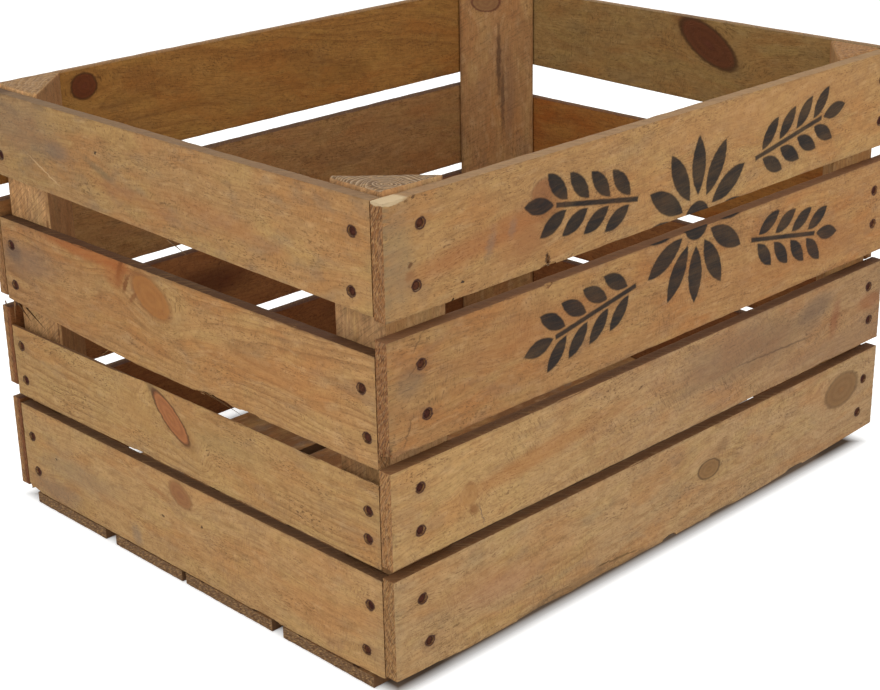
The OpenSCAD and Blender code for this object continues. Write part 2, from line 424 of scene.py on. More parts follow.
def saw_board(node, step, chips=()):
    """A rough-sawn board: gridded plank with eased arrises, worn faces, nicks and nail craters."""
    rng = random.Random(seed_of(node))
    axes, face_at, inward = side_lie[side_of(node)]
    low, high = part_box(node)
    bpy.ops.mesh.primitive_cube_add(size=1, location=(low + high) / 2, scale=high - low)
    board = bpy.context.object
    board.name = node + "_sawn"
    bpy.ops.object.transform_apply(location=True, rotation=True, scale=True)
    bpy.ops.object.mode_set(mode="EDIT")
    bpy.ops.mesh.select_all(action="SELECT")
    bpy.ops.mesh.bevel(offset=rng.uniform(0.4, 0.5) * MM, segments=2, affect="EDGES")
    bpy.ops.object.mode_set(mode="OBJECT")
    rule_across(board, axes[ALONG], step[0] * MM)
    rule_across(board, axes[ACROSS], step[1] * MM)
    rule_across(board, axes[THROUGH], step[1] * MM)
    lean_low_edge(board, node, axes)
    lean_top_edge(board, node, axes)

    # The corners near an arris wear more than the faces do
    spots = corners_of(board)
    flat = [np.minimum(spots[:, k] - low[k], high[k] - spots[:, k]) for k in axes]
    arris = board.vertex_groups.new(name="arris")
    worn = np.where((flat[1] < 2.2 * MM) & (flat[2] < 1.2 * MM) | (flat[0] < 1.6 * MM))[0]
    arris.add([int(k) for k in worn], 1.0, "REPLACE")
    stretch = [0, 0, 0]
    for k, size in zip(axes, (70, 14, 14)):
        stretch[k] = size * MM
    wear_surface(board, stretch, board_dents * MM, seed_of(node))
    for k, size in zip(axes, (11, 2.5, 2.5)):
        stretch[k] = size * MM
    wear_surface(board, stretch, board_arris_wear * MM, seed_of(node) + 7, group="arris")
    board.vertex_groups.clear()
    # Worn arrises may fold outwards by a hair, so every corner goes back inside the sawn size
    move_corners(board, np.clip(corners_of(board), np.array(low), np.array(high)))

    cutters = []
    lo = [low[k] / MM for k in axes]
    hi = [high[k] / MM for k in axes]
    for _ in range(rng.randint(12, 18)):
        spot = (rng.uniform(lo[0], hi[0]), rng.choice((lo[1], hi[1])), rng.choice((lo[2], hi[2])))
        size = (rng.uniform(2, 13), rng.uniform(0.5, 1.3), rng.uniform(0.4, 1.0))
        cutters.append(gouge_at(spot, size, rng.uniform(-0.04, 0.04), axes, rng))
    for along, across, depth, size, tilt in chips:
        through = face_at + inward * depth
        cutters.append(gouge_at((along, across, through), size, math.radians(tilt), axes, rng))
    turn = nail_turn(axes[THROUGH], -inward)
    for place in board_nails(node):
        squash = Matrix.Diagonal((rng.uniform(0.97, 1.16), rng.uniform(0.92, 1.08), 1, 1))
        spin = Matrix.Rotation(rng.uniform(0, 6.28), 4, "Z")
        crater = copy_of(nail_crater, Matrix.Translation((0, 0,
                                                          (crater_l / 2 - crater_depth) * MM)))
        jitter(crater, 0.07, rng)
        crater.data.transform(Matrix.Translation(place) @ turn @ spin @ squash)
        cutters.append(crater)
    cut_away(board, cutters)
    raise_splinters(board, board_splinters.get(node, ()))
    work_on(board)
    bpy.ops.object.shade_smooth_by_angle(angle=math.radians(35))
    return board


# Posts whose top falls towards the tip along the crate, and the radius of the bark edge at the
# top of their outer end face, in mm
post_tops = {"post_front_left": (1.1, 3.2)}


def saw_post(node):
    """A corner post: a rough-sawn triangle with blunted points, remeshed so that it can wear."""
    rng = random.Random(seed_of(node))
    low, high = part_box(node)
    bpy.ops.mesh.primitive_cube_add(size=1, location=(low + high) / 2, scale=high - low)
    post = bpy.context.object
    post.name = node + "_sawn"
    bpy.ops.object.transform_apply(location=True, rotation=True, scale=True)
    middle = (low + high) / 2
    outward = Vector((math.copysign(1, middle.x), math.copysign(1, middle.y), 0))
    tip = post_tip * MM
    inner = Vector((low.x if outward.x > 0 else high.x, low.y if outward.y > 0 else high.y,
                    middle.z))
    cut = Vector((inner.x, inner.y + outward.y * (high.y - low.y - tip), middle.z))
    bpy.ops.object.mode_set(mode="EDIT")
    bpy.ops.mesh.select_all(action="SELECT")
    legs = high - low
    slant = Vector((outward.x * (legs.y - tip), outward.y * (legs.x - tip), 0))
    bpy.ops.mesh.bisect(plane_co=cut, plane_no=slant, use_fill=True, clear_inner=True)
    bpy.ops.mesh.select_all(action="SELECT")
    bpy.ops.mesh.bevel(offset=0.5 * MM, segments=1, affect="EDGES")
    bpy.ops.object.mode_set(mode="OBJECT")
    apply_modifier(post, "REMESH", mode="VOXEL", voxel_size=post_voxel * MM)
    # Remeshing may round a corner outwards by a hair, so each goes back inside the sawn size
    spots = corners_of(post)
    spots = np.clip(spots, np.array(low), np.array(high))
    if node in post_tops:
        fall, bark = (size * MM for size in post_tops[node])
        beyond = np.maximum(spots[:, [0, 2]] * [-1, 1] - [-low.x - bark, high.z - bark], 0)
        reach = np.maximum(np.hypot(beyond[:, 0], beyond[:, 1]), bark)
        spots[:, [0, 2]] -= beyond * (1 - bark / reach)[:, None] * [-1, 1]
        spots[:, 2] -= fall * (spots[:, 0] - low.x) / legs.x * (spots[:, 2] - low.z) / legs.z
    move_corners(post, spots)
    wear_surface(post, (16 * MM, 16 * MM, 70 * MM), post_dents * MM, seed_of(node))
    wear_surface(post, (5 * MM, 5 * MM, 20 * MM), post_fuzz * MM, seed_of(node) + 3)
    work_on(post)
    bpy.ops.object.shade_smooth_by_angle(angle=math.radians(50))
    return post


# Chips and splits seen in the boards: along and across the board, depth of the middle below the
# outer face, radii along, across and through, all in mm, and the tilt in degrees
board_chips = {
    "front_slat_1": [
        (-245, 306.8, -0.5, (10, 3.2, 1.7), -3), (-230, 305.6, 0, (7, 1.4, 1.3), 0),
        (-119.6, 240, 0, (1.3, 4.6, 2.2), 8), (-120, 236.5, 0, (9, 2.2, 2.4), 4),
        (-60, 236.4, 0, (16, 1.6, 1.4), 0), (60, 305, 0, (22, 1.2, 1.2), 0),
    ],
    "front_slat_2": [
        (-252, 158, 3, (5, 8, 4), 30), (-236, 156, 0, (9, 1.8, 2), 0), (-119, 226, 0, (4, 3, 2), 0),
        (-150, 226.5, 0, (10, 1.5, 1.5), 0),
    ],
    "front_slat_3": [(-100, 147.9, 0, (18, 1.5, 1.6), 0), (180, 86, 0, (14, 1.6, 1.5), 0)],
    "front_slat_4": [
        (-126, 10, 0, (34, 5, 2.0), 7), (-70, 9.5, 0, (30, 4, 1.6), -4),
        (4, 9.6, 1, (9, 3.4, 6), 8), (60, 9.5, 0, (16, 2.4, 3), 0), (150, 12, 0, (12, 2, 3), 0),
        (-30, 79.5, 0, (14, 1.4, 1.4), 0),
    ],
    "left_slat_1": [(60, 239.5, 0, (12, 1.6, 1.8), 0), (-60, 238.5, 0, (17, 1.3, 1.4), 0)],
    "left_slat_2": [
        (-40, 146.4, 0, (22, 3.2, 3.0), 2), (-75, 146.4, 0, (12, 2.2, 2.4), -3),
        (90, 216, 0, (18, 1.4, 1.3), 0), (-120, 216, 0, (9, 1.3, 1.4), 0),
    ],
    "left_slat_3": [(-130, 138, 0, (12, 1.7, 1.6), 0), (40, 83, 0, (16, 1.5, 1.7), 0)],
    "left_slat_4": [
        (194, 8, 4, (9, 8, 9), 30), (182, 8, 0, (8, 3, 4), 0), (-80, 9, 0, (15, 1.6, 2), 0),
    ],
}


# Splinters that stand across the gaps: foot and tip in the crate's frame, half width, all in mm
board_splinters = {
    "left_slat_2": [
        ((-248, 70, 149.5), (-247, 88, 137.6), 0.6), ((-247, 64, 149.5), (-246, 82, 140.4), 0.5),
        ((-248.5, -38, 148), (-248, -68, 142.4), 0.6), ((-248, -28, 148), (-247, -50, 143.6), 0.5),
        ((-246.5, 184, 153), (-248, 166, 143.8), 0.9),
        ((-247, 172, 152), (-248.4, 148, 142.8), 0.7), ((-246, 188, 154), (-247, 189, 138.5), 1.0),
    ],
    "left_slat_1": [((-247, -2, 240.5), (-246, -20, 234), 0.7)],
    "back_slat_2": [((-249, 196, 152), (-248.6, 194, 144.6), 0.7)],
    "back_slat_3": [((-248, 197, 79), (-249, 196, 73.4), 0.6)],
    "front_slat_2": [
        ((92, -198.4, 158), (80, -199, 155.4), 0.5),
        ((214, -198.4, 158.6), (198, -199.2, 155.2), 0.6),
        ((184, -198.2, 158.4), (170, -199, 156), 0.45),
    ],
}


# ---- Materials ----

def linear(hex_colour):
    """An sRGB hex colour as the linear red, green, blue and alpha that the sockets take."""
    parts = [int(hex_colour[k:k + 2], 16) / 255 for k in (1, 3, 5)]
    return [p / 12.92 if p <= 0.04045 else ((p + 0.055) / 1.055) ** 2.4 for p in parts] + [1.0]


def lay(tree, kind, feeds=(), operation=None, ramp=None, **settings):
    """Adds a node: its inputs are fed by place or by name, each with a value, node or socket, and
    the settings are its properties."""
    node = tree.nodes.new("ShaderNode" + kind)
    if operation:
        node.operation = operation
    for key, value in settings.items():
        setattr(node, key, value)
    for key, value in feeds.items() if isinstance(feeds, dict) else enumerate(feeds):
        if isinstance(value, bpy.types.Node):
            value = next(socket for socket in value.outputs if socket.enabled)
        if isinstance(value, bpy.types.NodeSocket):
            tree.links.new(value, node.inputs[key])
        else:
            node.inputs[key].default_value = value
    if ramp:
        stops = node.color_ramp.elements
        while len(stops) < len(ramp):
            stops.new(0.5)
        for stop, (place, colour, cover) in zip(stops, ramp):
            stop.position = place
            stop.color = [*linear(colour)[:3], cover]
    return node


def coat(tree, tint, coats, blend="MIX"):
    """Lays coats of colour over a tint, each where its own mask is 1."""
    for mask, colour in coats:
        colour = linear(colour) if isinstance(colour, str) else colour
        tint = lay(tree, "Mix", {0: mask, 6: tint, 7: colour}, data_type="RGBA", blend_type=blend)
    return tint


def clouds(tree, place, size, low, high, detail=2.0, shift=0.0):
    """Lays a mask of soft patches, about size (along, across, through) in millimetres."""
    shrunk = lay(tree, "VectorMath", (place, [1 / s for s in size],
                                      (shift, 0.37 * shift, 0.71 * shift)), "MULTIPLY_ADD")
    noise = lay(tree, "TexNoise", {"Vector": shrunk, "Scale": 1.0, "Detail": detail,
                                   "Roughness": 0.6})
    return lay(tree, "MapRange", (noise, low, high), interpolation_type="SMOOTHSTEP")


def radii_off(tree, place, middle, radii, tilt):
    """Lays how far a point of the board's face is from an oval's middle, counted in its radii."""
    oval = lay(tree, "Mapping", {"Vector": place, "Location": (*middle, 0),
                                 "Rotation": (0, 0, math.radians(tilt)), "Scale": (*radii, 1e6)},
               vector_type="TEXTURE")
    return lay(tree, "VectorMath", (oval,), "LENGTH")


def times(tree, *masks):
    """Lays the product of masks and numbers."""
    product = masks[0]
    for mask in masks[1:]:
        product = lay(tree, "Math", (product, mask), "MULTIPLY")
    return product


def wood_place(tree, axes, face_at, inward):
    """The point in mm in the board's own terms: along, across, and depth under its outer face."""
    spot = lay(tree, "TexCoord")
    parts = lay(tree, "SeparateXYZ", (spot.outputs["Object"],))
    depth = lay(tree, "Math", (parts.outputs[axes[THROUGH]], 1000 * inward, -face_at * inward),
                "MULTIPLY_ADD")
    along = lay(tree, "Math", (parts.outputs[axes[ALONG]], 1000), "MULTIPLY")
    across = lay(tree, "Math", (parts.outputs[axes[ACROSS]], 1000), "MULTIPLY")
    return along, across, depth, lay(tree, "CombineXYZ", (along, across, depth))


pine = {
    "tone": "#b48b5a", "warm": "#ad713b", "olive": "#b8975f", "grey": "#846e58", "late": "#7d5430",
    "pale": "#c9a576", "speck": "#64452a", "blot": "#8d653c", "dirt": "#5c432d", "edge": "#6a4a30",
    "edge_dirt_and_shade_amount": 0.9, "end": "#94683e", "ring": 4.0, "contrast": 0.22, "pith": (0.0, -40.0),
    "drift": (0.01, 0.03), "slope": 0.03, "blotch": 0.4, "sapwood": 0.4, "greying": 0.25,
    "blotting": 0.36, "fibre": 0.26, "fuzziness": 0.55, "hatch": 0.22, "hatch_tilt": 76,
    "near_end": 0.2, "shade": (), "inner": None, "end_rings": 0.12, "knots": (), "stains": (),
    "fresh": (),
}

# Knots: colours of the heart, the body and the bark rim, how much the rim and the whole stand out
knot_kinds = {
    "spike": ("#a4663a", "#a0623a", "#4c2712", 0.92, 0.9),
    "dark": ("#70392a", "#6d3a22", "#4a2815", 0.9, 0.95),
    "loose": ("#865f3c", "#87613d", "#55291d", 0.95, 0.9),
    "amber": ("#96602f", "#9b6533", "#7a4a26", 0.55, 0.85),
    "brown": ("#8a5f36", "#85603a", "#5c3f24", 0.7, 0.92),
    "ringed": ("#80592f", "#87613a", "#4e351f", 0.95, 0.85),
    "soft": ("#87593a", "#8f603b", "#6e4527", 0.5, 0.85),
    "pale": ("#7f522c", "#a27646", "#8a5f38", 0.45, 0.6),
    "faint": ("#a87f52", "#a87f52", "#6b4c30", 0.8, 0.5),
}


def sawn_pine(name, node, axes, face_at, inward, look, nails=(), inked=False):
    """Sawn and handled pine: dry and matt, soft ring lines, saw fuzz that holds grey dirt."""
    look = {**pine, **look}
    seed = seed_of(node)
    low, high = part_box(node)
    material = bpy.data.materials.new(name)
    material.use_nodes = True
    tree = material.node_tree
    tree.nodes.clear()
    along, across, depth, flat = wood_place(tree, axes, face_at, inward)
    place = lay(tree, "VectorMath", (flat, (seed * 7.3, seed * 3.1, seed * 1.7)), "ADD")

    # The grain wanders by a few millimetres, runs a little askew, and parts round the knots
    sway = lay(tree, "TexNoise", {"Vector": lay(tree, "VectorMath",
                                                (place, (1 / 85, 1 / 24, 1 / 24)), "MULTIPLY"),
                                  "Scale": 1.0, "Detail": 1.5})
    sway = lay(tree, "Math", (sway, 17.0, -8.5), "MULTIPLY_ADD")
    flow = lay(tree, "Math", (along, look["slope"], across), "MULTIPLY_ADD")
    flow = lay(tree, "Math", (flow, sway), "ADD")
    swell = 0.0
    for u, v, a, b, tilt, kind in look["knots"]:
        near = lay(tree, "MapRange", (radii_off(tree, flat, (u, v), (a * 2.7, b * 2.5), tilt), 1.1,
                                      0.12), interpolation_type="SMOOTHERSTEP")
        aside = lay(tree, "Math", (across, -v), "ADD")
        flow = lay(tree, "Math", (times(tree, near, aside), -0.7, flow), "MULTIPLY_ADD")
        swell = lay(tree, "Math", (near, 2.4 * look["ring"], swell), "MULTIPLY_ADD")
    grain = lay(tree, "CombineXYZ", (along, flow, depth))
    fibres = lay(tree, "VectorMath", (grain, (seed * 5.9, seed * 2.3, seed * 1.1)), "ADD")
    ragged = lay(tree, "TexNoise", {"Vector": lay(tree, "VectorMath",
                                                  (place, (1 / 6, 1 / 2.2, 1 / 3)), "MULTIPLY"),
                                    "Scale": 1.0, "Detail": 2.0})
    torn = lay(tree, "VectorMath", (ragged.outputs["Color"], (5, 2.6, 0), flat), "MULTIPLY_ADD")
    torn = lay(tree, "VectorMath", (torn, (-2.5, -1.3, 0)), "ADD")
    rough = lay(tree, "VectorMath", (torn, flat), "ADD")
    rough = lay(tree, "VectorMath", (rough, (0.5, 0.5, 0.5)), "MULTIPLY")

    # Annual rings round a pith line that drifts across the board
    middle = (low[axes[ACROSS]] + high[axes[ACROSS]]) / 2 / MM
    pith = lay(tree, "Mapping", {"Vector": grain, "Location": (0, middle + look["pith"][0],
                                                               look["pith"][1]),
                                 "Rotation": (0, look["drift"][1], look["drift"][0]),
                                 "Scale": (1e6, 1, 1)}, vector_type="TEXTURE")
    radius = lay(tree, "Math", (lay(tree, "VectorMath", (pith,), "LENGTH"), swell), "ADD")
    uneven = lay(tree, "TexNoise", {"W": times(tree, radius, 1 / 10), "Scale": 1.0, "Detail": 1.0},
                 noise_dimensions="1D")
    radius = lay(tree, "Math", (uneven, 8.0, radius), "MULTIPLY_ADD")
    phase = lay(tree, "Math", (times(tree, radius, 1 / look["ring"]),), "FRACT")
    rings = lay(tree, "ValToRGB", (phase,), ramp=[(0, "#000000", 1), (0.40, "#303030", 1),
                                                  (0.72, "#c0c0c0", 1), (0.90, "#ffffff", 1),
                                                  (1.0, "#000000", 1)])

    # Broad warm, olive and grey patches, then blots, then the fine marks of fibre and saw
    warm = clouds(tree, fibres, (62, 21, 21), 0.44, 0.66)
    olive = clouds(tree, fibres, (46, 17, 17), 0.46, 0.68, 2.0, 31.0)
    grey = clouds(tree, place, (27, 14, 14), 0.50, 0.72, 3.0, 47.0)
    blots = clouds(tree, place, (11, 6, 6), 0.46, 0.72, 2.0, 59.0)
    pale = clouds(tree, fibres, (13, 5, 5), 0.50, 0.76, 1.0, 83.0)
    mottle = clouds(tree, place, (3.2, 2.2, 2.2), 0.40, 0.72, 1.0)
    fibre = clouds(tree, fibres, (22, 1.1, 1.1), 0.44, 0.70, 1.0)
    dashes = clouds(tree, fibres, (3.4, 0.8, 0.8), 0.57, 0.66, 1.0, 13.0)
    pores = clouds(tree, fibres, (1.5, 1.0, 1.0), 0.63, 0.72, 1.0, 19.0)
    fuzzy = clouds(tree, place, (42, 17, 17), 0.46, 0.64)
    patchy = clouds(tree, place, (120, 40, 40), 0.25, 0.65, 1.0)
    askew = lay(tree, "Mapping", {"Vector": place, "Rotation": (0, 0,
                                                                math.radians(look["hatch_tilt"]))})
    hatch = clouds(tree, askew, (4.6, 0.95, 3), 0.54, 0.68, 1.0)
    hatched = clouds(tree, place, (48, 30, 30), 0.46, 0.62, 1.0, 71.0)

    layers = [
        (times(tree, warm, look["blotch"]), look["warm"]),
        (times(tree, olive, look["sapwood"]), look["olive"]),
        (times(tree, rings, patchy, look["contrast"]), look["late"]),
        (times(tree, pale, 0.30), look["pale"]),
        (times(tree, blots, look["blotting"]), look["blot"]),
        (times(tree, grey, look["greying"]), look["grey"]),
        (times(tree, fibre, look["fibre"]), look["late"]),
        (times(tree, mottle, 0.20), look["speck"]),
        (times(tree, hatch, hatched, look["hatch"]), look["speck"]),
        (times(tree, dashes, fuzzy, look["fuzziness"]), look["speck"]),
        (times(tree, pores, 0.56), look["speck"]),
    ]

    def stained(marks):
        """The masks and colours of oval marks with torn outlines."""
        found = []
        for u, v, a, b, tilt, soft, tint, amount in marks:
            off = radii_off(tree, torn, (u, v), (a, b), tilt)
            mask = lay(tree, "MapRange", (off, 1 + soft, 1 - soft), interpolation_type="SMOOTHSTEP")
            found.append((times(tree, mask, amount), tint))
        return found

    layers += stained(look["stains"])

    # Around each nail the fibres are crushed and rust has crept into them; the dark rust mark also
    # covers the crater walls as painted shade, and a faint darker halo lies further out
    for u, v in nails:
        off = radii_off(tree, rough, (u, v), (4.0, 3.6), 0)
        mask = lay(tree, "MapRange", (off, 1.14, 0.9), interpolation_type="SMOOTHSTEP")
        layers.append((times(tree, mask, 0.97), "#391c15"))
        off = radii_off(tree, torn, (u, v), (8, 4.6), 0)
        mask = lay(tree, "MapRange", (off, 1.3, 0.3), interpolation_type="SMOOTHSTEP")
        layers.append((times(tree, mask, 0.18), "#5a3a24"))

    tint = coat(tree, linear(look["tone"]), layers)

    # Knots: a bark rim, and fine rings in their own wood
    for u, v, a, b, tilt, kind in look["knots"]:
        core, body, rim, rim_cover, cover = knot_kinds[kind]
        off = radii_off(tree, rough, (u, v), (a, b), tilt)
        eye = lay(tree, "ValToRGB", (times(tree, off, 0.5),), ramp=[
            (0.0, core, 1), (0.14, body, 1), (0.41, body, 1), (0.47, rim, rim_cover),
            (0.50, rim, 0.8 * rim_cover), (0.54, rim, 0.12 * rim_cover), (0.68, rim, 0.0)])
        tint = lay(tree, "Mix", {0: times(tree, eye.outputs["Alpha"], cover), 6: tint,
                                 7: eye.outputs["Color"]}, data_type="RGBA")
        fine = lay(tree, "Math", (times(tree, off, 5.0), 1.0), "PINGPONG")
        inside = lay(tree, "MapRange", (off, 1.0, 0.8))
        tint = lay(tree, "Mix", {0: times(tree, inside, fine, 0.28 * cover), 6: tint,
                                 7: linear(rim)}, data_type="RGBA")

    # The sawn edges and ends: dirt and painted shade on the edges, darkest where they lie in the
    # gaps, dark strokes of torn fibre in the end grain
    facing = lay(tree, "SeparateXYZ", (lay(tree, "NewGeometry").outputs["Normal"],))
    on_edge = lay(tree, "Math", (facing.outputs[axes[ACROSS]],), "ABSOLUTE")
    on_edge = lay(tree, "MapRange", (on_edge, 0.55, 0.9), interpolation_type="SMOOTHSTEP")
    on_end = lay(tree, "Math", (facing.outputs[axes[ALONG]],), "ABSOLUTE")
    on_end = lay(tree, "MapRange", (on_end, 0.5, 0.85), interpolation_type="SMOOTHSTEP")
    edge_dirt = clouds(tree, place, (11, 3, 3), 0.3, 0.6, 1.0)
    skewed = lay(tree, "VectorMath", (place, (0, 0.4, 1)), "DOT_PRODUCT")
    strokes = lay(tree, "CombineXYZ", (along, across, skewed))
    dark_stroke = clouds(tree, strokes, (3, 4.2, 0.7), 0.46, 0.61, 1.0)
    pale_stroke = clouds(tree, strokes, (3, 3.0, 0.7), 0.52, 0.66, 1.0, 17.0)
    # The saw crossed the edges on a slant, and left a cut about every 2 mm
    saw_line = lay(tree, "VectorMath", (place, (1, 0, 0.8)), "DOT_PRODUCT")
    saw_line = lay(tree, "CombineXYZ", (saw_line, across, depth))
    saw_cut = clouds(tree, saw_line, (1.5, 9, 14), 0.52, 0.68, 1.0)
    saw_ridge = clouds(tree, saw_line, (1.5, 9, 14), 0.54, 0.72, 1.0, 23.0)
    halves = (high[axes[ACROSS]] - low[axes[ACROSS]]) / 2 / MM
    from_edge = lay(tree, "Math", (lay(tree, "SeparateXYZ", (torn,)).outputs[1], -middle), "ADD")
    from_edge = lay(tree, "Math", (from_edge,), "ABSOLUTE")
    near_edge = lay(tree, "MapRange", (from_edge, halves - 2.4, halves - 0.2),
                    interpolation_type="SMOOTHSTEP")
    halfway = (low[axes[ALONG]] + high[axes[ALONG]]) / 2 / MM
    reach = (high[axes[ALONG]] - low[axes[ALONG]]) / 2 / MM
    from_end = lay(tree, "Math", (lay(tree, "SeparateXYZ", (torn,)).outputs[0], -halfway), "ADD")
    from_end = lay(tree, "Math", (from_end,), "ABSOLUTE")
    near_end = lay(tree, "MapRange", (from_end, reach - 9, reach - 0.5),
                   interpolation_type="SMOOTHSTEP")
    outer_layers = [(times(tree, near_end, edge_dirt, look["near_end"]), "#857051"),
                    (times(tree, near_edge, edge_dirt, 0.30), look["dirt"]),
                    # The edge colour on the top and bottom faces is dirt and painted shade, darkest
                    # on the boards whose edges lie deep in the gaps
                    (times(tree, on_edge, look["edge_dirt_and_shade_amount"]), look["edge"]),
                    (times(tree, on_edge, saw_cut, 0.40), look["dirt"]),
                    (times(tree, on_edge, saw_ridge, 0.22), look["tone"]),
                    (times(tree, on_end, 0.9), look["end"]),
                    (times(tree, on_end, dark_stroke, 0.72), "#4d2f19"),
                    (times(tree, on_end, pale_stroke, 0.55), "#b8905c"),
                    (times(tree, on_end, rings, look["end_rings"]), "#c0a585")]
    tint = coat(tree, tint, outer_layers + stained(look["fresh"]))

    # Painted shade: the wood is multiplied darker in some places along the board, where the light
    # falls off away from the near corner
    if look["shade"]:
        start, stop = (end[axes[ALONG]] / MM for end in (low, high))
        run = lay(tree, "MapRange", (along, start, stop))
        ramp = [((at - start) / (stop - start), colour, 1) for at, colour in look["shade"]]
        tint = lay(tree, "Mix", {0: 1.0, 6: tint, 7: lay(tree, "ValToRGB", (run,), ramp=ramp)},
                   data_type="RGBA", blend_type="MULTIPLY")

    # Painted shade: the face turned to the inside, and a post's slanted inner face, is multiplied
    # darker for the shade inside the crate
    if look["inner"]:
        if side_of(node) == "post":
            aslant = lay(tree, "Math", (times(tree, facing.outputs[0], facing.outputs[1]),),
                         "ABSOLUTE")
            inside = lay(tree, "MapRange", (aslant, 0.25, 0.42))
        else:
            inside = lay(tree, "MapRange", (depth, 3.0, 7.0))
        tint = lay(tree, "Mix", {0: inside, 6: tint, 7: linear(look["inner"])}, data_type="RGBA",
                   blend_type="MULTIPLY")

    if inked:
        ink = stencil_mask(tree, torn, flat, depth, place, fibre)
        tint = lay(tree, "Mix", {0: ink, 6: tint, 7: linear("#131010")}, data_type="RGBA")

    height = lay(tree, "Math", (fibre, -0.25, times(tree, dashes, -0.6)), "MULTIPLY_ADD")
    height = lay(tree, "Math", (mottle, 0.35, height), "MULTIPLY_ADD")
    height = lay(tree, "Math", (times(tree, hatch, hatched), -1.4 * look["hatch"], height),
                 "MULTIPLY_ADD")
    # 0.3 mm deep at most, about what a worn frame saw leaves
    bump = lay(tree, "Bump", {"Height": height, "Strength": 0.7, "Distance": bump_depth * MM})
    shader = lay(tree, "BsdfPrincipled", {"Base Color": tint, "Roughness": 0.82, "IOR": 1.45,
                                          "Normal": bump, "Specular IOR Level": 0.25})
    lay(tree, "OutputMaterial", {"Surface": shader})
    return material


# The mark, in mm, as the CAD ink is drawn
mark_x = 22
mark_z = 231.38
flower_d = 112
petals = 12
petal_w = 14
flower_middle_d = 26
bridge = 4
sprig_l = 104
sprig_slope = 10
stem_w = 3.4
leaf_pairs = 4
leaf_l = 26
leaf_w = 10.5


def stencil_mask(tree, torn, flat, depth, place, fibre):
    """Stencil ink sprayed on the outer face: black, soft at its rims, thin on raised fibres."""
    blown = lay(tree, "VectorMath", (lay(tree, "VectorMath", (flat, (0.72, 0.72, 0)), "MULTIPLY"),
                                     lay(tree, "VectorMath", (torn, (0.28, 0.28, 0)), "MULTIPLY")),
                "ADD")
    centred = lay(tree, "VectorMath", (blown, (-mark_x, -mark_z, 0)), "ADD")

    def leaf(spot, foot, tilt, length, width):
        """How far outside a pointed leaf a point is: its two sides are arcs of one radius."""
        arc = (length ** 2 + width ** 2) / (4 * width)
        own = lay(tree, "Mapping", {"Vector": spot, "Location": (*foot, 0),
                                    "Rotation": (0, 0, math.radians(tilt))}, vector_type="TEXTURE")
        folded = lay(tree, "VectorMath", (own,), "ABSOLUTE")
        own = lay(tree, "SeparateXYZ", (own,))
        folded = lay(tree, "SeparateXYZ", (folded,))
        run = lay(tree, "Math", (own.outputs[0], -length / 2), "ADD")
        rise = lay(tree, "Math", (folded.outputs[1], arc - width / 2), "ADD")
        reach = lay(tree, "VectorMath", (lay(tree, "CombineXYZ", (run, rise)),), "LENGTH")
        return lay(tree, "Math", (reach, -arc), "ADD")

    def nearest(*gaps):
        least = gaps[0]
        for gap in gaps[1:]:
            least = lay(tree, "Math", (least, gap), "MINIMUM")
        return least

    parts = lay(tree, "SeparateXYZ", (centred,))
    reach = lay(tree, "VectorMath", (centred,), "LENGTH")
    disc = lay(tree, "Math", (reach, -flower_middle_d / 2), "ADD")
    # The angle round the flower, folded to one petal
    fold = 2 * math.pi / petals
    angle = lay(tree, "Math", (parts.outputs[1], parts.outputs[0]), "ARCTAN2")
    angle = lay(tree, "Math", (angle, fold / 2 + 2 * math.pi), "ADD")
    angle = lay(tree, "Math", (angle, fold), "MODULO")
    angle = lay(tree, "Math", (angle, -fold / 2), "ADD")
    turned = lay(tree, "CombineXYZ", (times(tree, reach, lay(tree, "Math", (angle,), "COSINE")),
                                      times(tree, reach, lay(tree, "Math", (angle,), "SINE"))))
    petal_foot = flower_middle_d / 2 + bridge
    petal = leaf(turned, (petal_foot, 0), 0, flower_d / 2 - petal_foot, petal_w)
    # One sprig, folded to four, with its foot beside the flower
    quarter = lay(tree, "VectorMath", (centred,), "ABSOLUTE")
    sprig = lay(tree, "Mapping", {"Vector": quarter, "Location": (flower_d / 2 + bridge,
                                                                  flower_d / 4, 0),
                                  "Rotation": (0, 0, math.radians(sprig_slope))},
                vector_type="TEXTURE")
    sprig = lay(tree, "SeparateXYZ", (sprig,))
    halved = lay(tree, "CombineXYZ", (sprig.outputs[0], lay(tree, "Math", (sprig.outputs[1],),
                                                            "ABSOLUTE")))
    stem_l = sprig_l - leaf_l - bridge / 2
    stem_x = lay(tree, "Math", (sprig.outputs[0], -stem_l / 2), "ADD")
    stem_x = lay(tree, "Math", (lay(tree, "Math", (stem_x,), "ABSOLUTE"), -stem_l / 2), "ADD")
    stem_y = lay(tree, "Math", (lay(tree, "Math", (sprig.outputs[1],), "ABSOLUTE"), -stem_w / 2),
                 "ADD")
    stem = lay(tree, "Math", (stem_x, stem_y), "MAXIMUM")
    step = (sprig_l - leaf_l) / leaf_pairs
    leaves = [leaf(halved, ((k - 0.6) * step, stem_w / 2 + bridge / 3), 38, leaf_l, leaf_w)
              for k in range(1, leaf_pairs + 1)]
    tip = leaf(halved, (sprig_l - leaf_l, 0), 0, leaf_l, leaf_w)
    gap = nearest(disc, petal, stem, tip, *leaves)
    solid = lay(tree, "MapRange", (gap, 0.75, -0.75), interpolation_type="SMOOTHSTEP")
    mist = lay(tree, "MapRange", (gap, 5.0, 0.0), interpolation_type="SMOOTHSTEP")
    dust = clouds(tree, place, (1.3, 1.0, 1.0), 0.45, 0.7, 2.0)
    thin = clouds(tree, place, (34, 13, 13), 0.35, 0.8)
    cover = lay(tree, "Math", (times(tree, fibre, -0.06), times(tree, thin, -0.12)), "ADD")
    cover = lay(tree, "Math", (cover, 0.98), "ADD")
    spray = lay(tree, "Math", (times(tree, solid, cover), times(tree, mist, dust, 0.34)), "MAXIMUM")
    outer = lay(tree, "MapRange", (depth, 2.2, 1.6))
    return times(tree, spray, outer)


